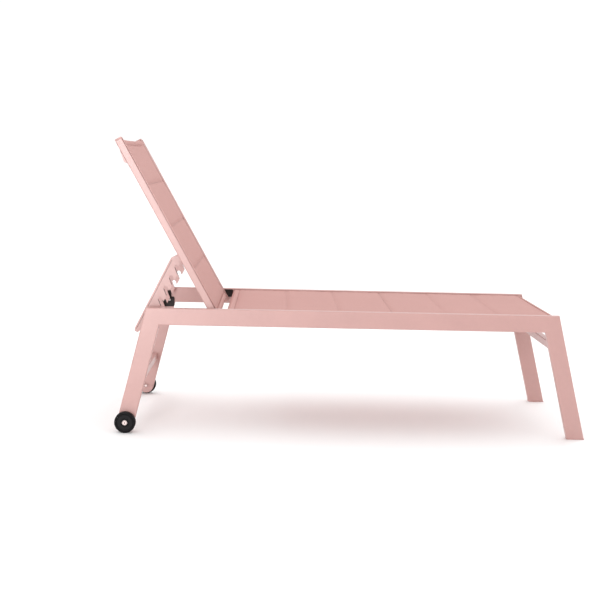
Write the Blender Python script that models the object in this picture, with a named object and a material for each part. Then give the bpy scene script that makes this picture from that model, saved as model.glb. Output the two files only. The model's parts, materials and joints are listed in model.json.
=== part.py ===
"""Reclining sun lounger: a powder-coated tube frame with a slung seat, a backrest that lies flat or
props up on a notched frame, and two wheels under the head end.

Metres. +X runs from the head end to the foot end, +Z is up, and the lounger is symmetric about Y = 0.
Left and right are those of a person who lies on it, so left is +Y. In the stored pose the backrest is
fully raised.
"""

import math

import bmesh
import bpy
from mathutils import Matrix, Vector

# --- Driving dimensions -------------------------------------------------------------------------

GAP = 0.0003                     # left between pieces that touch
RAIL_LENGTH = 1.365              # along the top of a side rail, corner to corner
RAIL_TOP = 0.415
WIDTH = 0.650                    # over the two side rails
TUBE_DEPTH = 0.056               # rails and legs, seen from the side
TUBE_THICKNESS = 0.023           # rails and legs, across the lounger
TUBE_WALL = 0.0016
LEG_SPLAY = math.radians(13.7)

HINGE_FROM_HEAD = 0.221
HINGE_HEIGHT = 0.399
BACK_ANGLE = math.radians(60.6)  # raised backrest above the horizontal
BACK_LENGTH = 0.650              # hinge to the top of the backrest rails
BACK_TAIL = 0.034                # backrest rails below the hinge
BACK_DEPTH = 0.024
BACK_THICKNESS = 0.022
BACK_CLEARANCE = 0.004           # between a backrest rail and a side rail
PIN_RADIUS = 0.005               # hinge pins of the backrest
BRACE_LOW = 0.567                # rear brace, up the backrest from the hinge
BRACE_HIGH = 0.612
BRACE_DEPTH = 0.0068

WHEEL_RADIUS = 0.035
WHEEL_WIDTH = 0.022
WHEEL_GAP = 0.0035               # between a wheel and its leg
AXLE_RADIUS = 0.004
RUNNING_CLEARANCE = 0.0004

STUD_FROM_HEAD = 0.006           # fixed stud that the notches of the prop hook over
STUD_HEIGHT = 0.368
STUD_RADIUS = 0.0055
PIVOT_ALONG = 0.2145             # prop pivot, up the backrest from the hinge
PIVOT_BEHIND = 0.0170            # and behind the middle of its rails
NOTCH_COUNT = 6
NOTCH_PITCH = 0.0402
NOTCH_RADIUS = 0.0065
NOTCH_OFFSET = 0.0085            # from the pivot line to the seats of the notches
NOTCH_SLANT = math.radians(48.8)  # of a notch to the prop
PROP_SPINE = 0.0214              # back edge of the prop plate, from the pivot line
PROP_TIPS = 0.0225               # tooth tips, from the pivot line
PROP_LENGTH = 0.285
PROP_PLATE = 0.005
PROP_PLAY = 0.0007               # between a prop plate and its lug
BRACKET_PLATE = 0.0035           # lugs that the prop hangs from

SEAT_HEAD = 0.265                # head end of the seat sling, from the head end of the rails
SEAT_FOOT_MARGIN = 0.008
SEAT_TOP = 0.4105
SLING_THICKNESS = 0.008
SLING_LOW = 0.0015               # underside of the backrest sling, from the middle of its rails
BAR_RADIUS = 0.010
BACK_BAR_RADIUS = 0.0065
STRETCHER = 0.025                # square tube between the legs
HEAD_STRETCHER_HEIGHT = 0.150
FOOT_STRETCHER_HEIGHT = 0.304

# --- Places worked out from them ----------------------------------------------------------------

HALF_WIDTH = WIDTH / 2
RAIL_INNER = HALF_WIDTH - TUBE_THICKNESS
BACK_OUTER = RAIL_INNER - BACK_CLEARANCE
BACK_INNER = BACK_OUTER - BACK_THICKNESS
PROP_OUTER = BACK_INNER - GAP - BRACKET_PLATE - PROP_PLAY
PROP_INNER = PROP_OUTER - PROP_PLATE

FOOT_REACH = RAIL_LENGTH + RAIL_TOP * math.tan(LEG_SPLAY)
HEAD_REACH = (HINGE_FROM_HEAD - BACK_LENGTH * math.cos(BACK_ANGLE)
              - BACK_DEPTH / 2 * math.sin(BACK_ANGLE))
MIDDLE = (FOOT_REACH + HEAD_REACH) / 2   # from the head end of the rails to X = 0

HEAD_X = -MIDDLE                 # head end of the side rails
FOOT_X = RAIL_LENGTH - MIDDLE
HINGE = Vector((HINGE_FROM_HEAD - MIDDLE, 0, HINGE_HEIGHT))
STUD = Vector((STUD_FROM_HEAD - MIDDLE, 0, STUD_HEIGHT))

# A mitred corner halves the angle between the rail and the leg.
MITRE = math.tan(math.radians(90) - (math.radians(90) + LEG_SPLAY) / 2)
LEG_START_Z = RAIL_TOP - TUBE_DEPTH / 2
LEG_START_IN = MITRE * TUBE_DEPTH / 2
AXLE = Vector((HEAD_X + LEG_START_IN - (LEG_START_Z - WHEEL_RADIUS) * math.tan(LEG_SPLAY),
               0, WHEEL_RADIUS))

SIDES = (("left", 1), ("right", -1))

# --- Materials ----------------------------------------------------------------------------------

COLOURS = {
    "powder_coat": ((0.70, 0.43, 0.40), 0.45, 0.0),
    "sling_fabric": ((0.66, 0.39, 0.36), 0.80, 0.0),
    "plug_plastic": ((0.62, 0.37, 0.34), 0.55, 0.0),
    "black_nylon": ((0.025, 0.024, 0.026), 0.50, 0.0),
    "tyre_rubber": ((0.018, 0.018, 0.019), 0.75, 0.0),
    "wheel_plastic": ((0.035, 0.034, 0.036), 0.45, 0.0),
    "zinc_steel": ((0.62, 0.60, 0.58), 0.35, 1.0),
}


def part_material(node, kind):
    """Give the node a Principled material of its own."""
    colour, roughness, metallic = COLOURS[kind]
    material = bpy.data.materials.new(f"{node}_{kind}")
    material.use_nodes = True
    shader = material.node_tree.nodes["Principled BSDF"]
    shader.inputs["Base Color"].default_value = (*colour, 1)
    shader.inputs["Roughness"].default_value = roughness
    shader.inputs["Metallic"].default_value = metallic
    return material


# --- Building blocks ----------------------------------------------------------------------------

def add_node(name, bm, kind, parent=None, smooth_angle=math.radians(35)):
    """Turn a bmesh into the named object of one sub-part."""
    bmesh.ops.remove_doubles(bm, verts=bm.verts, dist=1e-6)
    bmesh.ops.recalc_face_normals(bm, faces=bm.faces)
    mesh = bpy.data.meshes.new(name)
    bm.to_mesh(mesh)
    bm.free()
    mesh.shade_smooth()
    mesh.set_sharp_from_angle(angle=smooth_angle)
    mesh.materials.append(part_material(name, kind))
    node = bpy.data.objects.new(name, mesh)
    bpy.context.collection.objects.link(node)
    node.parent = parent
    return node


def empty(name, location, turn=0.0, parent=None):
    """Place an empty on a joint's axis, turned about Y."""
    holder = bpy.data.objects.new(name, None)
    bpy.context.collection.objects.link(holder)
    holder.location = location
    holder.rotation_euler = (0, turn, 0)
    holder.parent = parent
    return holder


def rounded_rectangle(width, height, radius, steps=3):
    """Outline points of a rectangle with round corners, counter-clockwise."""
    points = []
    corners = ((1, 1, 0), (-1, 1, 90), (-1, -1, 180), (1, -1, 270))
    for sign_u, sign_v, start in corners:
        centre_u = sign_u * (width / 2 - radius)
        centre_v = sign_v * (height / 2 - radius)
        for step in range(steps + 1):
            angle = math.radians(start + 90 * step / steps)
            points.append((centre_u + radius * math.cos(angle), centre_v + radius * math.sin(angle)))
    return points


def circle(radius, segments=32):
    """Outline points of a circle."""
    turns = (2 * math.pi * step / segments for step in range(segments))
    return [(radius * math.cos(turn), radius * math.sin(turn)) for turn in turns]


def bridge(bm, ring_a, ring_b):
    """Join two rings of as many vertices with a band of faces."""
    count = len(ring_a)
    for step in range(count):
        following = (step + 1) % count
        bm.faces.new((ring_a[step], ring_a[following], ring_b[following], ring_b[step]))


def hollow_tube(start, direction, up, length, outline, inner, start_slope=0.0, end_slope=0.0):
    """A tube whose ends are cut on a slope along `up`. Its outline is in (across Y, along `up`)."""
    bm = bmesh.new()
    rings = []
    for profile in (outline, inner):
        for base, slope in ((0.0, start_slope), (length, end_slope)):
            ring = []
            for across, height in profile:
                along = base + slope * height
                place = start + direction * along + up * height + Vector((0, across, 0))
                ring.append(bm.verts.new(place))
            rings.append(ring)
    outer_start, outer_end, inner_start, inner_end = rings
    bridge(bm, outer_start, outer_end)
    bridge(bm, inner_start, inner_end)
    bridge(bm, outer_start, inner_start)
    bridge(bm, outer_end, inner_end)
    return bm


def box_section(depth, thickness, wall=TUBE_WALL, radius=0.003):
    """Outer and inner outlines of a rectangular tube."""
    outer = rounded_rectangle(thickness, depth, radius)
    inner = rounded_rectangle(thickness - 2 * wall, depth - 2 * wall, radius - wall)
    return outer, inner


def prism_y(outline, y_from, y_to, bevel=0.0):
    """Extrude an outline in (x, z) along Y, and round its long edges."""
    bm = bmesh.new()
    ring = [bm.verts.new((x, y_from, z)) for x, z in outline]
    face = bm.faces.new(ring)
    moved = bmesh.ops.extrude_face_region(bm, geom=[face])
    far = [item for item in moved["geom"] if isinstance(item, bmesh.types.BMVert)]
    bmesh.ops.translate(bm, verts=far, vec=(0, y_to - y_from, 0))
    if bevel:
        rims = [edge for edge in bm.edges if abs(edge.verts[0].co.y - edge.verts[1].co.y) < 1e-7]
        bmesh.ops.bevel(bm, geom=rims, offset=bevel, segments=2, affect="EDGES", clamp_overlap=True)
    return bm


def turned_y(profile, bore=0.0, segments=32, centre=(0, 0)):
    """Turn a profile of (y, radius) points about a line along Y, solid or with a bore."""
    bm = bmesh.new()
    rings = []
    for y, radius in profile:
        ring = [bm.verts.new((centre[0] + u, y, centre[1] + v)) for u, v in circle(radius, segments)]
        rings.append(ring)
    for ring_a, ring_b in zip(rings, rings[1:]):
        bridge(bm, ring_a, ring_b)
    if bore:
        ends = []
        for y in (profile[0][0], profile[-1][0]):
            points = circle(bore, segments)
            ends.append([bm.verts.new((centre[0] + u, y, centre[1] + v)) for u, v in points])
        bridge(bm, rings[0], ends[0])
        bridge(bm, rings[-1], ends[1])
        bridge(bm, ends[0], ends[1])
    else:
        bm.faces.new(rings[0])
        bm.faces.new(rings[-1])
    return bm


def round_bar(name, kind, x, z, radius, half_length, parent=None):
    """A round tube across the lounger, closed at its ends, with chamfered rims."""
    rim = 0.001
    profile = [(-half_length, radius - rim), (-half_length + rim, radius),
               (half_length - rim, radius), (half_length, radius - rim)]
    return add_node(name, turned_y(profile, centre=(x, z), segments=24), kind, parent)


def cut(node, cutter_mesh):
    """Cut a closed bmesh out of a node, and apply the cut."""
    mesh = bpy.data.meshes.new("cutter")
    bmesh.ops.recalc_face_normals(cutter_mesh, faces=cutter_mesh.faces)
    cutter_mesh.to_mesh(mesh)
    cutter_mesh.free()
    cutter = bpy.data.objects.new("cutter", mesh)
    bpy.context.collection.objects.link(cutter)
    cutter.matrix_world = node.matrix_world
    cutter.parent = node.parent
    modifier = node.modifiers.new("cut", "BOOLEAN")
    modifier.object = cutter
    modifier.operation = "DIFFERENCE"
    modifier.solver = "EXACT"
    bpy.context.view_layer.update()
    evaluated = node.evaluated_get(bpy.context.evaluated_depsgraph_get())
    result = bpy.data.meshes.new_from_object(evaluated)
    node.modifiers.clear()
    node.data = result
    bpy.data.objects.remove(cutter)


# --- Frame --------------------------------------------------------------------------------------

def side_frames():
    """Side rails, splayed legs, foot caps and the round ends of the head-end legs."""
    outer, inner = box_section(TUBE_DEPTH, TUBE_THICKNESS)
    rail_up = Vector((0, 0, 1))
    along = Vector((1, 0, 0))
    rear_down = Vector((-math.sin(LEG_SPLAY), 0, -math.cos(LEG_SPLAY)))
    rear_out = Vector((-math.cos(LEG_SPLAY), 0, math.sin(LEG_SPLAY)))
    front_down = Vector((math.sin(LEG_SPLAY), 0, -math.cos(LEG_SPLAY)))
    front_out = Vector((math.cos(LEG_SPLAY), 0, math.sin(LEG_SPLAY)))
    drop = LEG_START_Z / math.cos(LEG_SPLAY)
    cap_height = 0.004
    to_axle = (LEG_START_Z - WHEEL_RADIUS) / math.cos(LEG_SPLAY)
    end_block = 0.006

    for side, sign in SIDES:
        y = sign * (HALF_WIDTH - TUBE_THICKNESS / 2)
        start = Vector((HEAD_X + LEG_START_IN + GAP, y, LEG_START_Z))
        length = RAIL_LENGTH - 2 * LEG_START_IN - 2 * GAP
        rail = hollow_tube(start, along, rail_up, length, outer, inner, -MITRE, MITRE)
        add_node(f"side_rail_{side}", rail, "powder_coat")

        top = Vector((HEAD_X + LEG_START_IN, y, LEG_START_Z)) + rear_down * GAP
        length = to_axle - end_block - 2 * GAP
        leg = hollow_tube(top, rear_down, rear_out, length, outer, inner, -MITRE, 0)
        add_node(f"rear_leg_{side}", leg, "powder_coat")

        top = Vector((FOOT_X - LEG_START_IN, y, LEG_START_Z)) + front_down * GAP
        length = drop - (cap_height + GAP) / math.cos(LEG_SPLAY)
        floor_slope = math.tan(LEG_SPLAY)
        leg = hollow_tube(top, front_down, front_out, length, outer, inner, -MITRE, floor_slope)
        add_node(f"front_leg_{side}", leg, "powder_coat")

        half_foot = TUBE_DEPTH / 2 / math.cos(LEG_SPLAY)
        lean = cap_height * math.tan(LEG_SPLAY)
        foot = FOOT_X - LEG_START_IN + LEG_START_Z * math.tan(LEG_SPLAY)
        outline = [(foot - half_foot, 0), (foot + half_foot, 0),
                   (foot + half_foot - lean, cap_height), (foot - half_foot - lean, cap_height)]
        half = TUBE_THICKNESS / 2
        cap = prism_y(outline, y - half, y + half)
        add_node(f"foot_cap_{side}", cap, "plug_plastic")

        outline = [(TUBE_DEPTH / 2 * math.cos(turn), TUBE_DEPTH / 2 * math.sin(turn))
                   for turn in (-math.pi * step / 20 for step in range(21))]
        outline += [(-TUBE_DEPTH / 2, end_block), (TUBE_DEPTH / 2, end_block)]
        block = prism_y(outline, y - half, y + half, bevel=0.0015)
        block.transform(Matrix.Translation(AXLE) @ Matrix.Rotation(LEG_SPLAY, 4, "Y"))
        node = add_node(f"leg_end_{side}", block, "powder_coat")
        bore = turned_y([(y - 0.03, AXLE_RADIUS + GAP), (y + 0.03, AXLE_RADIUS + GAP)],
                        centre=(AXLE.x, AXLE.z))
        cut(node, bore)


def stretchers():
    """Square tubes between the legs, and the bars that the seat sling wraps round."""
    outer, inner = box_section(STRETCHER, STRETCHER, radius=0.003)
    places = (
        ("head_stretcher", HEAD_X + LEG_START_IN, -1, HEAD_STRETCHER_HEIGHT),
        ("foot_stretcher", FOOT_X - LEG_START_IN, 1, FOOT_STRETCHER_HEIGHT),
    )
    half = RAIL_INNER - GAP
    for name, top_x, lean, height in places:
        x = top_x + lean * (LEG_START_Z - height) * math.tan(LEG_SPLAY)
        bm = bmesh.new()
        rings = []
        for outline in (outer, inner):
            for y in (-half, half):
                rings.append([bm.verts.new((x + u, y, height + v)) for u, v in outline])
        bridge(bm, rings[0], rings[1])
        bridge(bm, rings[2], rings[3])
        bridge(bm, rings[0], rings[2])
        bridge(bm, rings[1], rings[3])
        add_node(name, bm, "powder_coat")

    bar_z = SEAT_TOP - SLING_THICKNESS - GAP - BAR_RADIUS
    round_bar("seat_head_bar", "powder_coat", HEAD_X + SEAT_HEAD + BAR_RADIUS, bar_z, BAR_RADIUS, half)
    foot_bar_x = FOOT_X - SEAT_FOOT_MARGIN - BAR_RADIUS
    round_bar("seat_foot_bar", "powder_coat", foot_bar_x, bar_z, BAR_RADIUS, half)


def seat_sling():
    """The padded sling between the side rails: its space, as a plain slab."""
    outline = [(HEAD_X + SEAT_HEAD, SEAT_TOP - SLING_THICKNESS),
               (FOOT_X - SEAT_FOOT_MARGIN, SEAT_TOP - SLING_THICKNESS),
               (FOOT_X - SEAT_FOOT_MARGIN, SEAT_TOP),
               (HEAD_X + SEAT_HEAD, SEAT_TOP)]
    half = RAIL_INNER - GAP
    add_node("seat_sling", prism_y(outline, -half, half), "sling_fabric")


def hinges():
    """Flanged pins on the side rails that the backrest rails turn on, in nylon wear plates."""
    flange = 0.0015
    collar = 0.009
    plate_thickness = 0.0018
    plate_middle = (HINGE.x + 0.013, HINGE.z - 0.0015)
    outline = [(plate_middle[0] + u, plate_middle[1] + v)
               for u, v in rounded_rectangle(0.058, 0.028, 0.005, 4)]
    for side, sign in SIDES:
        wall = sign * (RAIL_INNER - GAP)
        face = wall - sign * plate_thickness
        plate = add_node(f"hinge_plate_{side}", prism_y(outline, min(wall, face), max(wall, face)),
                         "black_nylon")
        hole = turned_y([(wall - 0.01, collar + GAP), (wall + 0.01, collar + GAP)],
                        centre=(HINGE.x, HINGE.z), segments=24)
        cut(plate, hole)
        profile = [(wall, collar), (wall - sign * flange, collar), (wall - sign * flange, PIN_RADIUS),
                   (sign * (BACK_INNER + TUBE_WALL), PIN_RADIUS)]
        pin = turned_y(profile, centre=(HINGE.x, HINGE.z), segments=24)
        add_node(f"hinge_pin_{side}", pin, "zinc_steel")


def stud_block_outline():
    """Side view of a stud block: a rounded plate with a finger that stands up from it."""
    corner_steps = 5
    width = 0.051
    height = 0.038
    middle = (STUD.x + 0.0105, STUD.z - 0.007)
    body = [(middle[0] + u, middle[1] + v) for u, v in rounded_rectangle(width, height, 0.007, corner_steps)]
    finger_radius = 0.010
    finger_top = (STUD.x + 0.014, STUD.z + 0.033)
    arc = [(finger_top[0] + finger_radius * math.cos(turn), finger_top[1] + finger_radius * math.sin(turn))
           for turn in (math.pi * step / 12 for step in range(13))]
    root = middle[1] + height / 2
    finger = [(finger_top[0] + finger_radius, root), *arc, (finger_top[0] - finger_radius, root)]
    return body[:corner_steps + 1] + finger + body[corner_steps + 1:]


def notch_studs():
    """Nylon blocks inside the side rails, each with the stud that the prop hooks over."""
    outline = stud_block_outline()
    thickness = 0.003
    screw_x = STUD.x + 0.0175
    for side, sign in SIDES:
        wall = sign * (RAIL_INNER - GAP)
        face = wall - sign * thickness
        block = prism_y(outline, min(wall, face), max(wall, face), bevel=0.001)
        add_node(f"stud_block_{side}", block, "black_nylon")
        seat = face - sign * GAP
        tip = sign * (PROP_OUTER + 0.0005)
        profile = [(seat, 0.009), (seat - sign * 0.003, 0.009), (seat - sign * 0.004, STUD_RADIUS),
                   (tip + sign * 0.001, STUD_RADIUS), (tip, STUD_RADIUS - 0.001)]
        stud = turned_y(profile, centre=(STUD.x, STUD.z), segments=24)
        add_node(f"notch_stud_{side}", stud, "black_nylon")
        profile = [(seat, 0.0045), (seat - sign * 0.0015, 0.0045), (seat - sign * 0.0025, 0.003)]
        screw = turned_y(profile, centre=(screw_x, STUD.z), segments=20)
        add_node(f"block_screw_{side}", screw, "zinc_steel")


def axles():
    """Axle bolts through the leg ends, with a nut inside each leg."""
    for side, sign in SIDES:
        outer_face = sign * HALF_WIDTH
        wheel_out = outer_face + sign * (WHEEL_GAP + WHEEL_WIDTH)
        head = wheel_out + sign * RUNNING_CLEARANCE
        inner_end = sign * (RAIL_INNER - 0.007)
        profile = [(inner_end, AXLE_RADIUS), (head, AXLE_RADIUS), (head, 0.0085),
                   (head + sign * 0.0015, 0.0085), (head + sign * 0.003, 0.0055)]
        bolt = turned_y(profile, centre=(AXLE.x, AXLE.z), segments=24)
        add_node(f"axle_bolt_{side}", bolt, "zinc_steel")
        seat = sign * (RAIL_INNER - GAP)
        profile = [(seat, 0.0075), (seat - sign * 0.005, 0.0075)]
        nut = turned_y(profile, bore=AXLE_RADIUS + GAP, centre=(AXLE.x, AXLE.z), segments=6 * 4)
        add_node(f"axle_nut_{side}", nut, "zinc_steel")
        profile = [(outer_face + sign * GAP, 0.0075),
                   (outer_face + sign * (WHEEL_GAP - RUNNING_CLEARANCE), 0.0075)]
        spacer = turned_y(profile, bore=AXLE_RADIUS + GAP, centre=(AXLE.x, AXLE.z), segments=24)
        add_node(f"axle_spacer_{side}", spacer, "black_nylon")


# --- Wheels -------------------------------------------------------------------------------------

def wheels():
    """A plastic wheel with a rubber tyre outside each head-end leg."""
    tyre_depth = 0.0065
    for side, sign in SIDES:
        inner_y = sign * (HALF_WIDTH + WHEEL_GAP)
        outer_y = inner_y + sign * WHEEL_WIDTH
        middle = (inner_y + outer_y) / 2
        half = WHEEL_WIDTH / 2
        spin = empty(f"{side}_wheel_axis", (AXLE.x, middle, AXLE.z))
        ring = WHEEL_RADIUS - tyre_depth
        tread = [(-half, ring + 0.001), (-half, WHEEL_RADIUS - 0.003), (-half + 0.003, WHEEL_RADIUS),
                 (half - 0.003, WHEEL_RADIUS), (half, WHEEL_RADIUS - 0.003), (half, ring + 0.001)]
        tyre = turned_y(tread, bore=ring + GAP, segments=48)
        add_node(f"tyre_{side}", tyre, "tyre_rubber", spin)
        dish = 0.003
        face = [(-half, 0.010), (-half, 0.011), (-half + dish, 0.014), (-half + dish, ring - 0.004),
                (-half + 0.001, ring - 0.001), (-half + 0.002, ring),
                (half - 0.002, ring), (half - 0.001, ring - 0.001),
                (half - dish, ring - 0.004), (half - dish, 0.014), (half, 0.011), (half, 0.010)]
        hub = turned_y(face, bore=AXLE_RADIUS + RUNNING_CLEARANCE, segments=48)
        add_node(f"wheel_{side}", hub, "wheel_plastic", spin)


# --- Backrest: built lying flat, with the hinge at the origin, its top towards -X ----------------

def backrest(holder):
    """Backrest rails, their plugs, the cross bars, the rear brace and the sling."""
    outer, inner = box_section(BACK_DEPTH, BACK_THICKNESS)
    along = Vector((1, 0, 0))
    up = Vector((0, 0, 1))
    plug = 0.006
    for side, sign in SIDES:
        y = sign * (BACK_OUTER + BACK_INNER) / 2
        start = Vector((-BACK_LENGTH + plug + GAP, y, 0))
        length = BACK_LENGTH + BACK_TAIL - 2 * (plug + GAP)
        rail = hollow_tube(start, along, up, length, outer, inner)
        node = add_node(f"backrest_rail_{side}", rail, "powder_coat", holder)
        bore = PIN_RADIUS + RUNNING_CLEARANCE
        cut(node, turned_y([(y - 0.02, bore), (y + 0.02, bore)], segments=24))
        outline = rounded_rectangle(plug, BACK_DEPTH, 0.0028, 5)
        half = BACK_THICKNESS / 2
        for end, middle in (("top", -BACK_LENGTH + plug / 2), ("bottom", BACK_TAIL - plug / 2)):
            placed = [(middle + u, v) for u, v in outline]
            cap = prism_y(placed, y - half, y + half, bevel=0.0008)
            add_node(f"rail_plug_{end}_{side}", cap, "plug_plastic", holder)

    half = BACK_INNER - GAP
    bar_z = SLING_LOW - GAP - BACK_BAR_RADIUS
    round_bar("backrest_top_bar", "powder_coat", -BACK_LENGTH + 0.018, bar_z, BACK_BAR_RADIUS,
              half, holder)
    round_bar("backrest_bottom_bar", "powder_coat", 0.016, bar_z, BACK_BAR_RADIUS, half, holder)
    front = -BACK_DEPTH / 2 - GAP
    rear = front - BRACE_DEPTH
    outline = [(-BRACE_HIGH, front), (-BRACE_HIGH, front - 0.0012), (-BRACE_LOW - 0.011, rear),
               (-BRACE_LOW - 0.007, rear - 0.0002), (-BRACE_LOW - 0.003, rear + 0.0012),
               (-BRACE_LOW, rear + 0.0040), (-BRACE_LOW, front)]
    brace_half = BACK_OUTER - 0.002
    brace = prism_y(outline, -brace_half, brace_half)
    add_node("backrest_rear_brace", brace, "powder_coat", holder)
    sling_head = -BACK_LENGTH + 0.006
    sling_foot = 0.024
    outline = [(sling_head, SLING_LOW), (sling_foot, SLING_LOW),
               (sling_foot, SLING_LOW + SLING_THICKNESS), (sling_head, SLING_LOW + SLING_THICKNESS)]
    add_node("backrest_sling", prism_y(outline, -half, half), "sling_fabric", holder)


def prop_brackets(holder):
    """Lugs on the backrest rails, each with the bolt that a prop plate turns on."""
    lug_radius = 0.0078
    x = -PIVOT_ALONG
    z = -PIVOT_BEHIND
    arc = [(x + lug_radius * math.cos(turn), z + lug_radius * math.sin(turn))
           for turn in (-math.pi * step / 16 for step in range(17))]
    foot = lug_radius + 0.006
    lug_top = SLING_LOW - 0.002
    outline = arc + [(x - foot, lug_top), (x + foot, lug_top)]
    for side, sign in SIDES:
        wall = sign * (BACK_INNER - GAP)
        face = wall - sign * BRACKET_PLATE
        lug = prism_y(outline, min(wall, face), max(wall, face))
        add_node(f"prop_lug_{side}", lug, "powder_coat", holder)
        seat = face - sign * GAP
        head = sign * (PROP_INNER - GAP)
        profile = [(seat, AXLE_RADIUS), (head, AXLE_RADIUS), (head, 0.0075),
                   (head - sign * 0.002, 0.0075), (head - sign * 0.0035, 0.005)]
        bolt = turned_y(profile, centre=(x, z), segments=24)
        add_node(f"prop_bolt_{side}", bolt, "zinc_steel", holder)


# --- Prop: built hanging from its pivot at the origin, with its notches towards +X ---------------

def prop_outline(last_notch):
    """Side view of a prop plate in (x, z): a spine with slanting, round-ended notches."""
    eye = 0.0115
    tail_front = -0.0028
    tail_radius = 0.008
    slot = Vector((math.sin(NOTCH_SLANT), -math.cos(NOTCH_SLANT)))
    across = Vector((math.cos(NOTCH_SLANT), math.sin(NOTCH_SLANT)))
    points = [(-PROP_SPINE, -0.010)]
    for step in range(13):
        turn = math.radians(150 - 150 * step / 12)
        points.append((eye * math.cos(turn), eye * math.sin(turn)))
    first_notch = last_notch - (NOTCH_COUNT - 1) * NOTCH_PITCH
    points.append((PROP_TIPS - 0.010, -first_notch + 0.008))
    points.append((PROP_TIPS, -first_notch - 0.001))
    for index in range(NOTCH_COUNT):
        seat = Vector((NOTCH_OFFSET, -(first_notch + index * NOTCH_PITCH)))
        upper = seat + across * NOTCH_RADIUS
        lower = seat - across * NOTCH_RADIUS
        points.append(tuple(upper + slot * ((PROP_TIPS - upper.x) / slot.x)))
        for step in range(9):
            turn = math.pi * step / 8
            place = seat + across * (NOTCH_RADIUS * math.cos(turn)) - slot * (NOTCH_RADIUS * math.sin(turn))
            points.append(tuple(place))
        points.append(tuple(lower + slot * ((PROP_TIPS - lower.x) / slot.x)))
    points.append((PROP_TIPS, -last_notch - 0.030))
    points.append((PROP_TIPS - 0.006, -last_notch - 0.036))
    points.append((tail_front, -last_notch - 0.042))
    points.append((tail_front, -PROP_LENGTH + tail_radius))
    points.append((tail_front - tail_radius / 2, -PROP_LENGTH))
    points.append((-PROP_SPINE + tail_radius / 2, -PROP_LENGTH))
    points.append((-PROP_SPINE, -PROP_LENGTH + tail_radius))
    return points


def prop(holder, last_notch):
    """Two notched plates with folded flanges, joined by the handle at their lower ends."""
    outline = prop_outline(last_notch)
    flange_depth = 0.008
    flange_thickness = 0.0025
    for side, sign in SIDES:
        near = sign * PROP_INNER
        far = sign * PROP_OUTER
        plate = add_node(f"prop_plate_{side}", prism_y(outline, min(near, far), max(near, far)),
                         "powder_coat", holder)
        eye = AXLE_RADIUS + RUNNING_CLEARANCE
        cut(plate, turned_y([(near - sign * 0.01, eye), (far + sign * 0.01, eye)], segments=24))
        edge = near - sign * GAP
        tip = edge - sign * flange_depth
        strip = [(-PROP_SPINE, -0.016), (-PROP_SPINE + flange_thickness, -0.014),
                 (-PROP_SPINE + flange_thickness, -PROP_LENGTH + 0.010),
                 (-PROP_SPINE, -PROP_LENGTH + 0.009)]
        flange = prism_y(strip, min(edge, tip), max(edge, tip))
        add_node(f"prop_flange_{side}", flange, "powder_coat", holder)
    round_bar("prop_handle", "powder_coat", -0.0098, -PROP_LENGTH + 0.009, 0.007,
              PROP_INNER - GAP, holder)


def main():
    for old in list(bpy.data.objects):
        bpy.data.objects.remove(old)

    side_frames()
    stretchers()
    seat_sling()
    hinges()
    notch_studs()
    axles()
    wheels()

    back_axis = empty("backrest_axis", HINGE, BACK_ANGLE)
    bpy.context.view_layer.update()
    backrest(back_axis)
    prop_brackets(back_axis)

    # The prop hangs from the lugs so that its last notch sits on the studs.
    pivot_in_back = Vector((-PIVOT_ALONG, 0, -PIVOT_BEHIND))
    pivot = HINGE + Matrix.Rotation(BACK_ANGLE, 3, "Y") @ pivot_in_back
    reach = STUD - pivot
    last_notch = math.sqrt(reach.length ** 2 - NOTCH_OFFSET ** 2)
    lean = math.atan2(-reach.x, -reach.z) + math.asin(NOTCH_OFFSET / reach.length)
    prop_axis = empty("prop_axis", pivot_in_back, lean - BACK_ANGLE, back_axis)
    bpy.context.view_layer.update()
    prop(prop_axis, last_notch)


main()
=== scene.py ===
"""Looks of the reclining sun lounger: padded slings, powder-coated tube, wheels and small fittings."""

import json
import math

import bmesh
import bpy
from mathutils import Matrix, Vector, noise


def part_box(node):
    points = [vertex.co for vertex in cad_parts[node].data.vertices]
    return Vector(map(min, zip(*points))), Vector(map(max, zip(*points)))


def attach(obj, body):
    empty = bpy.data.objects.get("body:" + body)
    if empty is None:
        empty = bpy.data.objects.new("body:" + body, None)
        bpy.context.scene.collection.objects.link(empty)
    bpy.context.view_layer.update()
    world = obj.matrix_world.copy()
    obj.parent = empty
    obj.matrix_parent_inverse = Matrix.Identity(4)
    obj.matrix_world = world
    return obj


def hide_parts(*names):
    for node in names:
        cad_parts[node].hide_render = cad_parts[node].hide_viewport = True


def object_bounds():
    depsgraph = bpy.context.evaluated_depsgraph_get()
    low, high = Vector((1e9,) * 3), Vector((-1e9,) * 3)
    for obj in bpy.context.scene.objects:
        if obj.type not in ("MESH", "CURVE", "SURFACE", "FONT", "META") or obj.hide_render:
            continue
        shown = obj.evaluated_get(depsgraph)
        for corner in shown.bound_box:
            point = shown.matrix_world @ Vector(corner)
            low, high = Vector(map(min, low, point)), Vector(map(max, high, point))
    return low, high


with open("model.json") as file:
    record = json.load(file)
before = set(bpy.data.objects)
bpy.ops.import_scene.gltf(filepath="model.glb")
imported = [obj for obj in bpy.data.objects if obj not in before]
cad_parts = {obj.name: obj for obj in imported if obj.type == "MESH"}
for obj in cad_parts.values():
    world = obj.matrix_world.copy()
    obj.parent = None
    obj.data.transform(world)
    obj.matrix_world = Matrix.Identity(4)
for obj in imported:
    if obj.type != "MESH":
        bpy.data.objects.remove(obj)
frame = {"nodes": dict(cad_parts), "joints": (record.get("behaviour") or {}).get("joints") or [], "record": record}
CAD_LOW, CAD_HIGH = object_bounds()

NODES = frame["nodes"]
JOINTS = {joint["name"]: joint for joint in frame["joints"]}
HINGE = Vector(JOINTS["backrest_hinge"]["pos_m"])
RAISED = math.radians(JOINTS["backrest_hinge"]["range_deg"][1])
BACK_PLACE = Matrix.Translation(HINGE) @ Matrix.Rotation(RAISED, 4, "Y")

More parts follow.
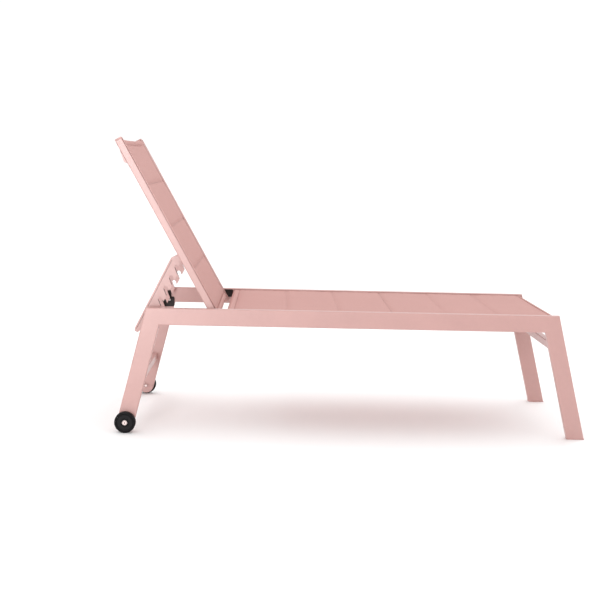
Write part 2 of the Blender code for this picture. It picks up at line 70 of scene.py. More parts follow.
SIDES = (("left", 1), ("right", -1))     # each side and the sign of its Y
SPLAY = math.radians(13.7)               # of the legs
COAT_PINK = (0.480, 0.266, 0.244)
FABRIC_PINK = (0.520, 0.292, 0.268)
THREAD_PINK = (0.600, 0.350, 0.322)
CAP_METAL = (0.74, 0.62, 0.60)
NYLON_BLACK = (0.020, 0.014, 0.014)
TYRE_BLACK = (0.006, 0.005, 0.006)
WHEEL_BLACK = (0.008, 0.007, 0.008)


# --- Node materials -----------------------------------------------------------------------------

def set_range(node, start, end, low, high):
    """Have a Map Range node carry start..end over to low..high."""
    for index, value in enumerate((start, end, low, high), start=1):
        node.inputs[index].default_value = value


class Shader:
    """A Principled material with a small kit for wiring its texture nodes."""

    def __init__(self, name, roughness, metallic=0.0, sheen=0.0):
        self.material = bpy.data.materials.new(name)
        self.material.use_nodes = True
        self.tree = self.material.node_tree
        self.principled = self.tree.nodes["Principled BSDF"]
        self.principled.inputs["Roughness"].default_value = roughness
        self.principled.inputs["Metallic"].default_value = metallic
        self.principled.inputs["Sheen Weight"].default_value = sheen

    def add(self, kind, **settings):
        node = self.tree.nodes.new(kind)
        for key, value in settings.items():
            setattr(node, key, value)
        return node

    def put(self, source, target):
        """Feed a node's output, or a plain number, to an input."""
        if isinstance(source, (int, float)):
            target.default_value = source
        else:
            self.tree.links.new(source, target)

    def math(self, operation, first, second=0.0):
        node = self.add("ShaderNodeMath", operation=operation)
        self.put(first, node.inputs[0])
        self.put(second, node.inputs[1])
        return node.outputs[0]

    def position(self):
        return self.add("ShaderNodeTexCoord").outputs["Object"]

    def grain(self, scale, detail=3.0, roughness=0.5, stretch=(1, 1, 1)):
        """Noise in object space, with `scale` cells a metre."""
        mapping = self.add("ShaderNodeMapping")
        mapping.inputs["Scale"].default_value = stretch
        self.put(self.position(), mapping.inputs["Vector"])
        texture = self.add("ShaderNodeTexNoise")
        texture.inputs["Scale"].default_value = scale
        texture.inputs["Detail"].default_value = detail
        texture.inputs["Roughness"].default_value = roughness
        self.put(mapping.outputs[0], texture.inputs["Vector"])
        return texture.outputs["Fac"]

    def between(self, factor, low, high, start=0.0, end=1.0):
        """Remap a factor from start..end to low..high."""
        node = self.add("ShaderNodeMapRange")
        set_range(node, start, end, low, high)
        self.put(factor, node.inputs[0])
        return node.outputs[0]

    def shade(self, factor, dark, light):
        """Mix two colours by a factor."""
        node = self.add("ShaderNodeMix", data_type="RGBA")
        node.inputs["A"].default_value = (*dark, 1)
        node.inputs["B"].default_value = (*light, 1)
        self.put(factor, node.inputs["Factor"])
        return node.outputs["Result"]

    def over(self, factor, below, colour):
        """Lay one colour over a coloured output by a factor."""
        node = self.add("ShaderNodeMix", data_type="RGBA")
        self.put(below, node.inputs["A"])
        node.inputs["B"].default_value = (*colour, 1)
        self.put(factor, node.inputs["Factor"])
        return node.outputs["Result"]

    def bump(self, height, strength, distance, onto=None):
        """Raise the surface by a height output, on top of another bump if one is given."""
        node = self.add("ShaderNodeBump")
        node.inputs["Strength"].default_value = strength
        node.inputs["Distance"].default_value = distance
        self.put(height, node.inputs["Height"])
        if onto is not None:
            self.put(onto, node.inputs["Normal"])
        return node.outputs["Normal"]

    def finish(self, colour, normal=None, roughness=None):
        """Wire the last outputs to the surface and hand over the material."""
        self.put(colour, self.principled.inputs["Base Color"])
        if normal is not None:
            self.put(normal, self.principled.inputs["Normal"])
        if roughness is not None:
            self.put(roughness, self.principled.inputs["Roughness"])
        return self.material


def tinted(colour, gain):
    """A colour made darker or lighter by a factor."""
    return tuple(min(1.0, channel * gain) for channel in colour)


def powder_coat(name="powder_coat", colour=COAT_PINK):
    """Satin powder coat: a fine orange peel, faint cloudiness, and paler rubbed edges."""
    s = Shader(name, 0.34)
    s.principled.inputs["Specular IOR Level"].default_value = 1.0
    cloud = s.grain(6.0, detail=2.0)
    base = s.shade(s.between(cloud, 0, 1, 0.3, 0.7), tinted(colour, 0.965), tinted(colour, 1.035))
    speck = s.between(s.grain(1400.0, detail=1.0), 0, 0.10, 0.62, 0.80)
    base = s.over(speck, base, tinted(colour, 1.25))
    edge = s.add("ShaderNodeNewGeometry").outputs["Pointiness"]
    rubbed = s.math("MULTIPLY", s.between(edge, 0, 1, 0.54, 0.66), s.between(s.grain(70.0), 0, 0.45))
    base = s.over(rubbed, base, tinted(colour, 1.22))
    peel = s.bump(s.grain(520.0, detail=1.5), 0.22, 0.0004)
    fine = s.bump(s.grain(2300.0, detail=1.0), 0.15, 0.0001, peel)
    return s.finish(base, fine, s.between(s.grain(45.0), 0.31, 0.39))


def sling_fabric():
    """Coated yarn woven in a basket pattern, laid out along the cloth's own UVs, in metres."""
    yarn_pitch = 0.0018
    seam_shade = 0.22
    colour = FABRIC_PINK
    s = Shader("sling_fabric", 0.85, sheen=0.04)
    s.principled.inputs["Sheen Roughness"].default_value = 0.5
    s.principled.inputs["Specular IOR Level"].default_value = 0.12
    axes = s.add("ShaderNodeSeparateXYZ")
    s.put(s.add("ShaderNodeUVMap", uv_map="cloth").outputs["UV"], axes.inputs[0])
    turns = 2 * math.pi / yarn_pitch
    waves = [s.math("SINE", s.math("MULTIPLY", axis, turns)) for axis in axes.outputs[:2]]
    weave = s.between(s.math("MULTIPLY", *waves), 0, 1, -1, 1)
    yarn = s.math("MAXIMUM", *[s.math("ABSOLUTE", wave) for wave in waves])
    height = s.math("MULTIPLY", s.math("ADD", weave, yarn), 0.5)
    # painted shade: the yarn is darker where the weave sinks and lighter on its raised tops
    base = s.shade(s.between(height, 0, 1, 0.2, 0.9), tinted(colour, 0.90), tinted(colour, 1.07))
    faded = s.between(s.grain(9.0, detail=3.0), 0, 0.35, 0.45, 0.75)
    base = s.over(faded, base, tinted(colour, 1.08))
    slub = s.between(s.grain(260.0, detail=1.0, stretch=(1, 6, 1)), 0, 0.16, 0.55, 0.8)
    base = s.over(slub, base, tinted(colour, 0.88))
    # painted shadow: the cloth is darkened along its seams, by how deep each point sits in a seam's dent
    crease_shadow = s.add("ShaderNodeAttribute", attribute_name="seam").outputs["Fac"]
    base = s.over(s.math("MULTIPLY", crease_shadow, seam_shade), base, tinted(colour, 0.70))
    normal = s.bump(height, 0.55, 0.0004)
    normal = s.bump(s.grain(130.0, detail=4.0), 0.10, 0.0015, normal)
    return s.finish(base, normal, s.between(height, 0.92, 0.80))


def thread():
    """Twisted sewing thread."""
    s = Shader("thread", 0.6, sheen=0.2)
    ply = s.grain(1500.0, detail=2.0)
    base = s.shade(ply, tinted(THREAD_PINK, 0.80), THREAD_PINK)
    return s.finish(base, s.bump(ply, 0.3, 0.0002))


def moulded(name, colour, roughness, scale=420.0, strength=0.25, gloss=0.5):
    """Moulded plastic or rubber with a spark-eroded grain and light scuffs."""
    s = Shader(name, roughness)
    s.principled.inputs["Specular IOR Level"].default_value = gloss
    cloud = s.grain(60.0, detail=3.0)
    base = s.shade(s.between(cloud, 0, 1, 0.3, 0.7), tinted(colour, 0.82), tinted(colour, 1.18))
    scuff = s.between(s.grain(220.0, detail=5.0, stretch=(1, 1, 5)), 0, 0.25, 0.60, 0.75)
    base = s.over(scuff, base, tuple(channel * 1.2 + 0.012 for channel in colour))
    normal = s.bump(s.grain(scale, detail=2.0), strength, 0.0003)
    return s.finish(base, normal, s.between(s.grain(150.0), roughness - 0.08, roughness + 0.10))


def plated_steel(name="zinc_steel", colour=(0.66, 0.62, 0.60)):
    """Zinc-plated steel with fine turning marks."""
    s = Shader(name, 0.32, metallic=1.0)
    lines = s.grain(900.0, detail=2.0, stretch=(1, 0.15, 1))
    base = s.shade(lines, tinted(colour, 0.85), tinted(colour, 1.1))
    return s.finish(base, s.bump(lines, 0.12, 0.0002), s.between(lines, 0.25, 0.42))


MATERIALS = {
    "powder_coat": powder_coat(),
    "sling_fabric": sling_fabric(),
    "plug_plastic": moulded("plug_plastic", tinted(COAT_PINK, 1.12), 0.42),
    "black_nylon": moulded("black_nylon", NYLON_BLACK, 0.45, gloss=0.25),
    "tyre_rubber": moulded("tyre_rubber", TYRE_BLACK, 0.55, 700.0, 0.35, gloss=0.15),
    "wheel_plastic": moulded("wheel_plastic", WHEEL_BLACK, 0.5, gloss=0.18),
    "zinc_steel": plated_steel(),
}
PAINTED_STEEL = plated_steel("cap_steel", CAP_METAL)
THREAD = thread()
# A far darker copy of the powder coat, laid on thin lines as a painted shadow in gaps and creases.
SHADOW_LINE_COAT = powder_coat("painted_shadow_line", tinted(COAT_PINK, 0.25))
# A near-black copy of the powder coat, for the painted shade on the notches' lower walls.
NOTCH_SHADE_COAT = powder_coat("painted_notch_shade", tinted(COAT_PINK, 0.12))
# A lighter copy of the powder coat, given to slim rounded edges as a painted highlight.
HIGHLIGHT_COAT = powder_coat("painted_highlight_coat", tinted(COAT_PINK, 1.35))
# The axle nuts carry the frame's pink powder coat, made darker than the frame's as painted shade for their recess.
NUT_SHADE_COAT = powder_coat("nut_coat_painted_shade", tinted(COAT_PINK, 0.8))


def dress_frame():
    """Give every CAD node the material of its slot, with a look of their own for the axle's ends."""
    slots = {entry["node"]: entry["material_slot"] for entry in frame["record"]["subparts"]}
    for name, node in NODES.items():
        material = MATERIALS[slots[name]]
        if name.startswith("axle_bolt"):
            material = PAINTED_STEEL
        elif name.startswith("axle_nut"):
            material = NUT_SHADE_COAT
        node.data.materials.clear()
        node.data.materials.append(material)


# --- Making pieces ------------------------------------------------------------------------------

def add_piece(name, bm, material, body, place=None, smooth=True):
    """Turn a bmesh into a piece of the visual model that rides on a body."""
    mesh = bpy.data.meshes.new(name)
    bm.normal_update()
    bm.to_mesh(mesh)
    bm.free()
    if smooth:
        mesh.shade_smooth()
    mesh.materials.append(material)
    piece = bpy.data.objects.new(name, mesh)
    bpy.context.scene.collection.objects.link(piece)
    if place is not None:
        piece.matrix_world = place
    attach(piece, body)
    return piece


def tube_along(bm, points, radius, sides=8):
    """Sweep a circle along a few points, without twisting it, and close both ends."""
    rings = []
    side = (points[1] - points[0]).orthogonal()
    for index, point in enumerate(points):
        before = points[max(index - 1, 0)]
        after = points[min(index + 1, len(points) - 1)]
        heading = (after - before).normalized()
        side = (side - heading * side.dot(heading)).normalized()
        lift = heading.cross(side)
        ring = []
        for step in range(sides):
            turn = 2 * math.pi * step / sides
            ring.append(bm.verts.new(point + (side * math.cos(turn) + lift * math.sin(turn)) * radius))
        rings.append(ring)
    for ring_a, ring_b in zip(rings, rings[1:]):
        for step in range(sides):
            following = (step + 1) % sides
            bm.faces.new((ring_a[step], ring_a[following], ring_b[following], ring_b[step]))
    bm.faces.new(tuple(reversed(rings[0])))
    bm.faces.new(tuple(rings[-1]))


def bar_in(low, high):
    """Centre and radius of a round bar that fills a box."""
    return (low + high) / 2, (high.z - low.z) / 2


# --- Padded slings ------------------------------------------------------------------------------

GRID = 0.0064            # spacing of the cloth's mesh
PUFF = 0.0027            # how far a panel may swell above its seams
PROUD = 0.0026           # top of the padding above the CAD's plain sheet
RIM = 0.009              # the padding rounds off this close to a rail or a hem
RIM_DIP = 0.0034         # how far it falls at a rail
HEM_DIP = 0.0016         # and at a hem
SEAM_HALF = 0.0042       # half the width of the dent along a seam
SEAM_DIP = 0.0016        # depth of that dent, above and below
BELLY = 0.35             # share of the swelling that shows underneath
THINNEST = 0.0018        # least thickness of the padding
GROOVE = 0.0036          # channel between the padding and a rail


def uneven(height, u, v, cells, seed):
    """Smooth noise of a height, with so many cells a metre along U and along V."""
    return height * noise.noise(Vector((u * cells[0], v * cells[1], seed)))


def nearness(distance, reach):
    """1 at a line, falling to 0 at some reach from it."""
    return max(0.0, 1 - distance / reach)


class Sling:
    """A padded sheet in its own flat frame: U along it, V across it, both in metres."""

    def __init__(self, name, u_low, u_high, half_width, seams, top, thickness, sag):
        self.name = name
        self.u_low = u_low
        self.u_high = u_high
        self.half_width = half_width
        self.seams = seams
        self.top = top
        self.thickness = thickness
        self.sag = sag
        self.columns = round((u_high - u_low) / GRID)
        self.rows = round(2 * half_width / GRID)

    def point(self, column, row):
        """Place of one point of the cloth's grid."""
        u = self.u_low + (self.u_high - self.u_low) * column / self.columns
        v = -self.half_width + 2 * self.half_width * row / self.rows
        return u, v

    def grid(self):
        """Every point of the grid, row by row."""
        return [self.point(column, row) for row in range(self.rows + 1)
                for column in range(self.columns + 1)]

    def cells(self):
        """The four corners of every cell, as places in the grid."""
        across = self.columns + 1
        for row in range(self.rows):
            for column in range(self.columns):
                corner = row * across + column
                yield corner, corner + 1, corner + across + 1, corner + across

    def outline(self):
        """The outer points once round, as places in the grid."""
        across = self.columns + 1
        places = [*range(across)]
        places += [row * across + self.columns for row in range(1, self.rows + 1)]
        places += [self.rows * across + column for column in range(self.columns - 1, -1, -1)]
        places += [row * across for row in range(self.rows - 1, 0, -1)]
        return places

    def to_seam(self, u):
        """Distance to the nearest seam."""
        return min(abs(u - seam) for seam in self.seams)

    def slump(self, v):
        """How far the sheet hangs below its edges."""
        return self.sag * (1 - (v / self.half_width) ** 2)

    def is_held(self, u, v):
        """Whether a point is sewn down: by a rail, by a hem or on a seam."""
        border = GRID * 1.2
        stitched = GRID * 0.55
        if u < self.u_low + border or u > self.u_high - border:
            return True
        if abs(v) > self.half_width - border:
            return True
        return self.to_seam(u) < stitched

    def swell(self):
        """Blow the panels up between their seams with Blender's cloth, and read how far they rise."""
        frames = 20
        wobble = 0.0004          # keeps the panels from starting perfectly flat
        mesh = bpy.data.meshes.new(self.name + "_cloth")
        bm = bmesh.new()
        verts = []
        for u, v in self.grid():
            verts.append(bm.verts.new((u, v, uneven(wobble, u, v, (38, 38), 3.1))))
        for cell in self.cells():
            bm.faces.new([verts[place] for place in cell])
        bm.to_mesh(mesh)
        bm.free()
        cloth_piece = bpy.data.objects.new(self.name + "_cloth", mesh)
        bpy.context.scene.collection.objects.link(cloth_piece)
        held = cloth_piece.vertex_groups.new(name="held")
        held.add([i for i, (u, v) in enumerate(self.grid()) if self.is_held(u, v)], 1.0, "REPLACE")
        modifier = cloth_piece.modifiers.new("cloth", "CLOTH")
        settings = modifier.settings
        settings.vertex_group_mass = "held"
        settings.quality = 5
        settings.mass = 0.25
        settings.tension_stiffness = 18
        settings.compression_stiffness = 18
        settings.shear_stiffness = 6
        settings.bending_stiffness = 0.6
        settings.air_damping = 4
        settings.shrink_min = -0.012
        settings.use_pressure = True
        settings.uniform_pressure_force = 6
        settings.effector_weights.gravity = 0
        modifier.point_cache.frame_start = 1
        modifier.point_cache.frame_end = frames
        scene = bpy.context.scene
        for moment in range(1, frames + 1):
            scene.frame_set(moment)
        evaluated = cloth_piece.evaluated_get(bpy.context.evaluated_depsgraph_get())
        heights = [abs(vertex.co.z) for vertex in evaluated.data.vertices]
        scene.frame_set(1)
        bpy.data.objects.remove(cloth_piece)
        return [PUFF * math.tanh(height / PUFF) for height in heights]

    def build(self, material, body, place=None):
        """Close the swollen sheet with a flatter underside and lay it in place."""
        pull = 0.030             # how far the ripples run from a seam
        ripple_height = 0.0009
        slack_height = 0.0006
        heights = self.swell()
        bm = bmesh.new()
        uv_layer = bm.loops.layers.uv.new("cloth")
        # how deep each point sits in a seam's dent, which the fabric reads to paint shadow along the seams
        seam_shadow_layer = bm.verts.layers.float.new("seam")
        tops = []
        bottoms = []
        for (u, v), height in zip(self.grid(), heights):
            pucker = nearness(self.to_seam(u), SEAM_HALF)
            ripple = uneven(ripple_height * nearness(self.to_seam(u), pull), u, v, (16, 150), 1.7)
            slack = uneven(slack_height, u, v, (7, 9), 4.4)
            rim = nearness(self.half_width - abs(v), RIM)
            end = nearness(min(u - self.u_low, self.u_high - u), RIM)
            z = self.top - PUFF + height + ripple + slack - self.slump(v)
            z -= SEAM_DIP * pucker + RIM_DIP * rim ** 2 + HEM_DIP * end ** 2
            low = self.top - self.thickness - BELLY * height - self.slump(v) + SEAM_DIP * pucker
            upper = bm.verts.new((u, v, z))
            lower = bm.verts.new((u, v, min(low, z - THINNEST)))
            upper[seam_shadow_layer] = pucker
            lower[seam_shadow_layer] = pucker
            tops.append(upper)
            bottoms.append(lower)
        for cell in self.cells():
            bm.faces.new([tops[place] for place in cell])
            bm.faces.new([bottoms[place] for place in reversed(cell)])
        edge = self.outline()
        for here, following in zip(edge, edge[1:] + edge[:1]):
            bm.faces.new((bottoms[here], bottoms[following], tops[following], tops[here]))
        for face in bm.faces:
            for loop in face.loops:
                loop[uv_layer].uv = (loop.vert.co.x, loop.vert.co.y)
        return add_piece(self.name, bm, material, body, place)

    def stitches(self, body, place=None):
        """A row of stitches in every seam."""
        pitch = 0.0060
        length = 0.0043
        margin = 0.012
        sunk = 0.0012            # below the sheet beside the seam
        arch = 0.0006            # rise of a stitch at its middle
        tuck = 0.0002            # and fall at its ends
        thread_radius = 0.0005
        bm = bmesh.new()
        count = int(2 * (self.half_width - margin) / pitch)
        for seam in self.seams:
            for index in range(count):
                v = -self.half_width + margin + pitch * (index + 0.5)
                z = self.top - PUFF - self.slump(v) - sunk
                start = Vector((seam, v - length / 2, z - tuck))
                middle = Vector((seam, v, z + arch))
                finish = Vector((seam, v + length / 2, z - tuck))
                tube_along(bm, [start, middle, finish], thread_radius, sides=5)
        add_piece(self.name + "_stitches", bm, THREAD, body, place)


def sleeve(name, bar_x, bar_z, bar_radius, top_z, half_width, direction, body, place=None, lift=0.0,
           flap=0.013):
    """The sling's padded end, wrapped round its bar and sewn back under the sheet."""
    play = 0.0004            # between the bar and the cloth
    padding = 0.0028         # thickness of the wrapped cloth
    reach = 0.030            # length of the part sewn back underneath
    rim_dip = 0.0022         # how far it falls at a rail
    flap_dip = 0.0012        # how far the flap over the sheet thins down from above
    flap_rise = 0.0010       # and from below
    reach_rise = 0.0022      # how far the part underneath thins at its end
    unevenness = 0.0005
    sweep = 28               # steps round the bar
    rows = 84                # steps along it
    inner = bar_radius + play
    wrap = inner + padding
    crown = top_z - bar_z
    bm = bmesh.new()
    uv_layer = bm.loops.layers.uv.new("cloth")
    loops = []
    for row in range(rows + 1):
        v = -half_width + 2 * half_width * row / rows
        swell = lift * abs(v / half_width) ** 4 + uneven(unevenness, v, bar_x, (45, 1), 2.2)
        rim = rim_dip * nearness(half_width - abs(v), RIM) ** 2
        outside = []
        inside = []
        for step in range(sweep + 1):
            turn = math.pi * step / sweep
            across = math.sin(turn)
            rise = math.cos(turn)
            tall = crown - rim if rise > 0 else wrap
            shape = Vector((-direction * (wrap + swell) * across, 0, tall * rise))
            outside.append(Vector((bar_x, v, bar_z)) + shape)
            inside.append(Vector((bar_x - direction * inner * across, v, bar_z + inner * rise)))
        outside.insert(0, outside[0] + Vector((direction * flap, 0, -flap_dip)))
        inside.insert(0, inside[0] + Vector((direction * flap, 0, flap_rise)))
        outside.append(outside[-1] + Vector((direction * reach, 0, wrap - inner)))
        inside.append(inside[-1] + Vector((direction * reach, 0, wrap - inner + reach_rise)))
        loops.append([bm.verts.new(point) for point in outside + inside[::-1]])
    count = len(loops[0])
    step_length = math.pi * wrap / sweep
    for row in range(rows):
        for step in range(count):
            following = (step + 1) % count
            face = bm.faces.new((loops[row][step], loops[row][following],
                                 loops[row + 1][following], loops[row + 1][step]))
            corners = ((step, row), (step + 1, row), (step + 1, row + 1), (step, row + 1))
            for loop, (along, across) in zip(face.loops, corners):
                loop[uv_layer].uv = (along * step_length, across * 2 * half_width / rows)
    bm.faces.new(loops[0][::-1])
    bm.faces.new(loops[-1])
    bmesh.ops.recalc_face_normals(bm, faces=bm.faces)
    piece = add_piece(name, bm, MATERIALS["sling_fabric"], body, place)


def welt(name, u_low, u_high, v, z, radius, body, place=None):
    """The sling's rolled edge, slid into the channel of a rail."""
    steps = 90
    unevenness = 0.0002
    bm = bmesh.new()
    points = []
    for step in range(steps + 1):
        u = u_low + (u_high - u_low) * step / steps
        points.append(Vector((u, v, z + uneven(unevenness, u, v, (30, 9), 0.5))))
    tube_along(bm, points, radius, sides=10)
    uv_layer = bm.loops.layers.uv.new("cloth")
    for face in bm.faces:
        for loop in face.loops:
            loop[uv_layer].uv = (loop.vert.co.x, loop.vert.co.z)
    add_piece(name, bm, MATERIALS["sling_fabric"], body, place)


def seat():
    """The seat sling: six panels between the side rails, wrapped over a bar at each end."""
    panels = 6
    sag = 0.0020
    head_hem = 0.020
    foot_hem = 0.010
    head_flap = 0.013
    foot_flap = 0.003
    hem_sunk = 0.0016        # below the top of the padding
    welt_inset = 0.0021
    welt_sunk = 0.0045
    welt_radius = 0.0018
    low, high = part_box("seat_sling")
    top = high.z + PROUD
    half_width = high.y - GROOVE
    pitch = (high.x - low.x - head_hem - foot_hem) / panels
    seams = [low.x + head_hem + pitch * index for index in range(1, panels)]
    sling = Sling("seat_padding", low.x + head_hem, high.x - foot_hem, half_width, seams,
                  top, high.z - low.z, sag)
    piece = sling.build(MATERIALS["sling_fabric"], "frame")
    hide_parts("seat_sling")
    sling.stitches("frame")
    for end, direction, flap in (("head", 1, head_flap), ("foot", -1, foot_flap)):
        centre, radius = bar_in(*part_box(f"seat_{end}_bar"))
        sleeve(f"seat_hem_{end}", centre.x, centre.z, radius, top - hem_sunk, half_width, direction,
               "frame", flap=flap)
    for side, sign in SIDES:
        welt(f"seat_welt_{side}", low.x + head_hem, high.x - foot_hem, sign * (high.y - welt_inset),
             high.z - welt_sunk, welt_radius, "frame")


def back_box(node):
    """Box of a CAD node in the backrest's own flat frame."""
    flatten = BACK_PLACE.inverted()
    points = [flatten @ vertex.co for vertex in NODES[node].data.vertices]
    low = Vector(min(point[axis] for point in points) for axis in range(3))
    high = Vector(max(point[axis] for point in points) for axis in range(3))
    return low, high


def back():
    """The backrest sling: four panels, made in the backrest's flat frame and then raised with it."""
    panels = 4
    sag = 0.0014
    head_hem = 0.010
    foot_hem = 0.020
    hem_sunk = 0.0004
    corner_lift = 0.009      # how much fuller the top hem is at its corners
    closer = 0.0008          # the padding comes this much nearer to the rails than the seat's
    welt_from_top = 0.008
    welt_from_bottom = 0.012
    welt_inset = 0.0016
    welt_sunk = 0.0030
    welt_radius = 0.0014
    low, high = back_box("backrest_sling")
    top = high.z + PROUD
    half_width = high.y - GROOVE + closer
    pitch = (high.x - low.x - head_hem - foot_hem) / panels
    seams = [low.x + head_hem + pitch * index for index in range(1, panels)]
    sling = Sling("backrest_padding", low.x + head_hem, high.x - foot_hem, half_width, seams,
                  top, high.z - low.z, sag)
    piece = sling.build(MATERIALS["sling_fabric"], "backrest", BACK_PLACE)
    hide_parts("backrest_sling")
    sling.stitches("backrest", BACK_PLACE)
    for end, direction, lift in (("top", 1, corner_lift), ("bottom", -1, 0.0)):
        centre, radius = bar_in(*back_box(f"backrest_{end}_bar"))
        sleeve(f"backrest_hem_{end}", centre.x, centre.z, radius, top - hem_sunk, half_width, direction,
               "backrest", BACK_PLACE, lift)
    for side, sign in SIDES:
        welt(f"backrest_welt_{side}", low.x + welt_from_top, high.x - welt_from_bottom,
             sign * (high.y - welt_inset), high.z - welt_sunk, welt_radius, "backrest", BACK_PLACE)


# --- Small fittings -----------------------------------------------------------------------------

def welds():
    """The mitred corners of the frame: a thin line of weld round each, ground flush under the coating."""
    slope = math.tan(math.radians(90) - (math.radians(90) + SPLAY) / 2)
    proud = 0.00006
    half_strip = 0.0006
    skin = 0.0009            # how deep the line reaches into the tube's wall
    corner = 0.003           # rounding of the tube
    corner_steps = 3
    for side, _ in SIDES:
        low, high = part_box(f"side_rail_{side}")
        middle = (low + high) / 2
        half_y = (high.y - low.y) / 2
        half_z = (high.z - low.z) / 2
        for end, sign in (("head", -1), ("foot", 1)):
            tip = low.x if sign < 0 else high.x
            bm = bmesh.new()
            rings = []
            for inset, shift in ((-proud, -half_strip), (-proud, half_strip), (skin, half_strip),
                                 (skin, -half_strip)):
                ring = []
                for quarter, (sign_y, sign_z) in enumerate(((1, 1), (-1, 1), (-1, -1), (1, -1))):
                    for step in range(corner_steps + 1):
                        turn = math.radians(90 * quarter + 90 / corner_steps * step)
                        radius = corner - inset
                        y = sign_y * (half_y - corner) + radius * math.cos(turn)
                        z = sign_z * (half_z - corner) + radius * math.sin(turn)
                        x = tip - sign * slope * (half_z - z) + shift
                        ring.append(bm.verts.new((x, middle.y + y, middle.z + z)))
                rings.append(ring)
            for ring_a, ring_b in zip(rings, rings[1:] + rings[:1]):
                for step, vertex in enumerate(ring_a):
                    following = (step + 1) % len(ring_a)
                    bm.faces.new((vertex, ring_a[following], ring_b[following], ring_b[step]))
            bmesh.ops.recalc_face_normals(bm, faces=bm.faces)
            piece = add_piece(f"weld_{end}_{side}", bm, MATERIALS["powder_coat"], "frame")
            piece.data.set_sharp_from_angle(angle=math.radians(40))


def prop_folds():
    """The rounded folds where the prop's plates turn into their flanges, given a painted highlight, and a painted
    shadow line for the crease beside each.
    """
    radius = 0.0027
    past = 0.0003            # how far the fold stands out past the spine
    crease_shadow_inset = 0.0060
    crease_shadow_radius = 0.0011
    crease_shadow_sunk = 0.0008
    for side, sign in SIDES:
        plate_low, plate_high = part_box(f"prop_plate_{side}")
        y = (plate_low.y + plate_high.y) / 2
        vertices = NODES[f"prop_flange_{side}"].data.vertices
        corners = sorted({(round(vertex.co.z, 5), round(vertex.co.x, 5)) for vertex in vertices})
        foot_z, foot_x = min(corners[:2], key=lambda corner: corner[1])
        head_z, head_x = min(corners[-2:], key=lambda corner: corner[1])
        start = Vector((foot_x, y, foot_z))
        finish = Vector((head_x, y, head_z))
        heading = (finish - start).normalized()
        inward = Vector((heading.z, 0, -heading.x)) * (radius - past)
        bm = bmesh.new()
        tube_along(bm, [start + inward, finish + inward], radius, sides=20)
        # painted highlight: each fold takes the lighter copy of the coat
        add_piece(f"prop_fold_{side}", bm, HIGHLIGHT_COAT, "prop")
        # painted shadow: the crease is a dark line laid just proud of the plate's face
        face = plate_high.y - crease_shadow_sunk if sign > 0 else plate_low.y + crease_shadow_sunk
        crease_shadow = inward.normalized() * crease_shadow_inset + Vector((0, face - y, 0))
        bm = bmesh.new()
        tube_along(bm, [start + crease_shadow, finish + crease_shadow], crease_shadow_radius)
        add_piece(f"prop_crease_shadow_{side}", bm, SHADOW_LINE_COAT, "prop")


def notch_shade_lines():
    """Painted shade on the lower walls of the notches: dark lines drawn on the outside of each prop plate."""
    count = 6
    pitch = 0.0402
    offset = 0.0085          # from the pivot line to the seats of the notches
    tips = 0.0225            # tooth tips, from the pivot line
    slant = math.radians(48.8)
    half_slot = 0.0065
    line_radius = 0.0013
    sunk = 0.0010
    clear = 0.6              # share of the line's radius that keeps it out of the slot
    short = 0.001            # how far it ends before the tooth's tip
    pivot = Vector(JOINTS["prop_pivot"]["pos_m"])
    slot = Vector((math.sin(slant), 0, -math.cos(slant)))
    across = Vector((math.cos(slant), 0, math.sin(slant)))
    for side, sign in SIDES:
        stud_low, stud_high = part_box(f"notch_stud_{side}")
        plate_low, plate_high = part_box(f"prop_plate_{side}")
        reach = (stud_low + stud_high) / 2 - pivot
        reach.y = 0
        last = math.sqrt(reach.length ** 2 - offset ** 2)
        lean = math.atan2(-reach.x, -reach.z) + math.asin(offset / reach.length)
        turn = Matrix.Rotation(lean, 3, "Y")
        face = plate_high.y - sunk if sign > 0 else plate_low.y + sunk
        bm = bmesh.new()
        for index in range(count):
            notch_seat = Vector((offset, 0, -last + index * pitch))
            start = notch_seat - across * (half_slot + line_radius * clear)
            finish = start + slot * ((tips - start.x) / slot.x - short)
            ends = [turn @ place + pivot for place in (start, finish)]
            tube_along(bm, [Vector((place.x, face, place.z)) for place in ends], line_radius)
        add_piece(f"notch_shade_lines_{side}", bm, NOTCH_SHADE_COAT, "prop")


def sling_strips():
    """Slim strips along the front of the backrest rails that hold the sling, coloured as a painted highlight, with
    a painted shadow line along each joint.
    """
    strip_radius = 0.0017
    strip_inset = 0.0040
    strip_rise = 0.0003
    shadow_line_radius = 0.0006
    corner = 0.003           # rounding of the rail, which the painted shadow line runs along
    shadow_line_turn = math.radians(52)
    for side, sign in SIDES:
        low, high = back_box(f"backrest_rail_{side}")
        edge = high.y if sign > 0 else low.y
        # The strip takes the lighter coat as a painted highlight, the joint the dark coat as a painted shadow.
        rows = (
            ("strip", strip_radius, HIGHLIGHT_COAT, edge - sign * strip_inset, high.z + strip_rise),
            ("joint", shadow_line_radius, SHADOW_LINE_COAT, edge - sign * corner * (1 - math.cos(shadow_line_turn)),
             high.z - corner * (1 - math.sin(shadow_line_turn))),
        )
        for kind, radius, material, y, z in rows:
            bm = bmesh.new()
            tube_along(bm, [Vector((low.x, y, z)), Vector((high.x, y, z))], radius, sides=14)
            add_piece(f"sling_{kind}_{side}", bm, material, "backrest", BACK_PLACE)


def socket_shades():
    """Dark hexagons on the heads of the axle bolts: painted shade for their sockets, made as solid black pieces
    standing just proud.
    """
    radius = 0.0022
    depth = 0.0006
    proud = 0.0001
    for side, sign in SIDES:
        low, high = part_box(f"axle_bolt_{side}")
        centre = (low + high) / 2
        face = high.y if sign > 0 else low.y
        bm = bmesh.new()
        points = [Vector((centre.x, face - sign * depth, centre.z)),
                  Vector((centre.x, face + sign * proud, centre.z))]
        tube_along(bm, points, radius, sides=6)
        bmesh.ops.recalc_face_normals(bm, faces=bm.faces)
        add_piece(f"bolt_socket_shade_{side}", bm, MATERIALS["black_nylon"], "frame",
                  smooth=False)


# --- Camera, light and floor --------------------------------------------------------------------

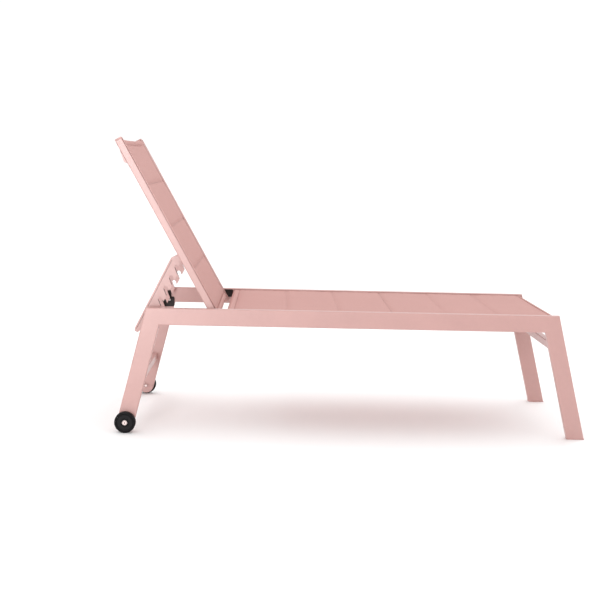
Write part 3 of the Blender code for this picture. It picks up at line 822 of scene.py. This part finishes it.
def set_camera():
    """A long lens, higher than the seat and nearly square to the near side."""
    along_rail = 0.4251
    away = 3.9636
    height = 0.9266
    yaw = math.radians(-1.157)
    pitch = math.radians(90 - 6.835)
    roll = math.radians(1.318)
    camera = bpy.data.objects.new("camera", bpy.data.cameras.new("camera"))
    bpy.context.scene.collection.objects.link(camera)
    rail_low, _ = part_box("side_rail_right")
    place = Vector((rail_low.x + along_rail, rail_low.y - away, height))
    turn = Matrix.Rotation(yaw, 4, "Z") @ Matrix.Rotation(pitch, 4, "X") @ Matrix.Rotation(roll, 4, "Z")
    camera.matrix_world = Matrix.Translation(place) @ turn
    camera.data.sensor_width = 36
    camera.data.lens = 72.93
    bpy.context.scene.camera = camera


def softbox(name, place, target, size, power):
    """A soft rectangular lamp that faces a target and stays out of sight."""
    lamp = bpy.data.lights.new(name, "AREA")
    lamp.shape = "RECTANGLE"
    lamp.size, lamp.size_y = size
    lamp.energy = power
    holder = bpy.data.objects.new(name, lamp)
    bpy.context.scene.collection.objects.link(holder)
    holder.location = place
    holder.rotation_euler = (Vector(target) - Vector(place)).to_track_quat("-Z", "Y").to_euler()
    holder.visible_camera = False


def surroundings():
    """White studio walls that fall off to grey behind the viewer on the foot side."""
    grey_side = (0.45, -0.85, 0.25)
    white_strength = 1.04
    grey_strength = 0.25
    world = bpy.data.worlds.new("studio")
    world.use_nodes = True
    tree = world.node_tree
    backdrop = tree.nodes["Background"]
    direction = tree.nodes.new("ShaderNodeTexCoord").outputs["Generated"]
    toward = tree.nodes.new("ShaderNodeVectorMath")
    toward.operation = "DOT_PRODUCT"
    toward.inputs[1].default_value = grey_side
    fall = tree.nodes.new("ShaderNodeMapRange")
    set_range(fall, -0.30, 0.90, white_strength, grey_strength)
    tree.links.new(direction, toward.inputs[0])
    tree.links.new(toward.outputs["Value"], fall.inputs[0])
    tree.links.new(fall.outputs[0], backdrop.inputs["Strength"])
    backdrop.inputs["Color"].default_value = (1.0, 1.0, 1.0, 1)
    bpy.context.scene.world = world


def studio():
    """A pale floor, a wide soft sun above the foot end, and a softbox on the near side by the head end."""
    floor_radius = 60
    floor_gap = 0.0005
    surroundings()
    sun = bpy.data.lights.new("overhead", "SUN")
    sun.energy = 2.1
    sun.angle = math.radians(130)
    holder = bpy.data.objects.new("overhead", sun)
    bpy.context.scene.collection.objects.link(holder)
    holder.rotation_euler = (math.radians(6), math.radians(30), 0)
    softbox("key", place=(-1.55, -4.25, 0.95), target=(-0.7, 0, 0.6), size=(1.1, 1.8), power=68)

    s = Shader("floor", 0.9)
    s.principled.inputs["Specular IOR Level"].default_value = 0.1
    tone = s.shade(s.grain(0.8, detail=2.0), (0.93, 0.93, 0.93), (0.96, 0.96, 0.96))
    material = s.finish(tone)
    bm = bmesh.new()
    bmesh.ops.create_circle(bm, cap_ends=True, segments=96, radius=floor_radius)
    mesh = bpy.data.meshes.new("floor")
    bm.to_mesh(mesh)
    bm.free()
    mesh.materials.append(material)
    floor = bpy.data.objects.new("floor", mesh)
    floor.location = (0, 0, CAD_LOW[2] - floor_gap)
    bpy.context.scene.collection.objects.link(floor)
    bpy.context.scene.view_settings.view_transform = "Standard"


dress_frame()
seat()
back()
welds()
prop_folds()
notch_shade_lines()
sling_strips()
socket_shades()
set_camera()
studio()
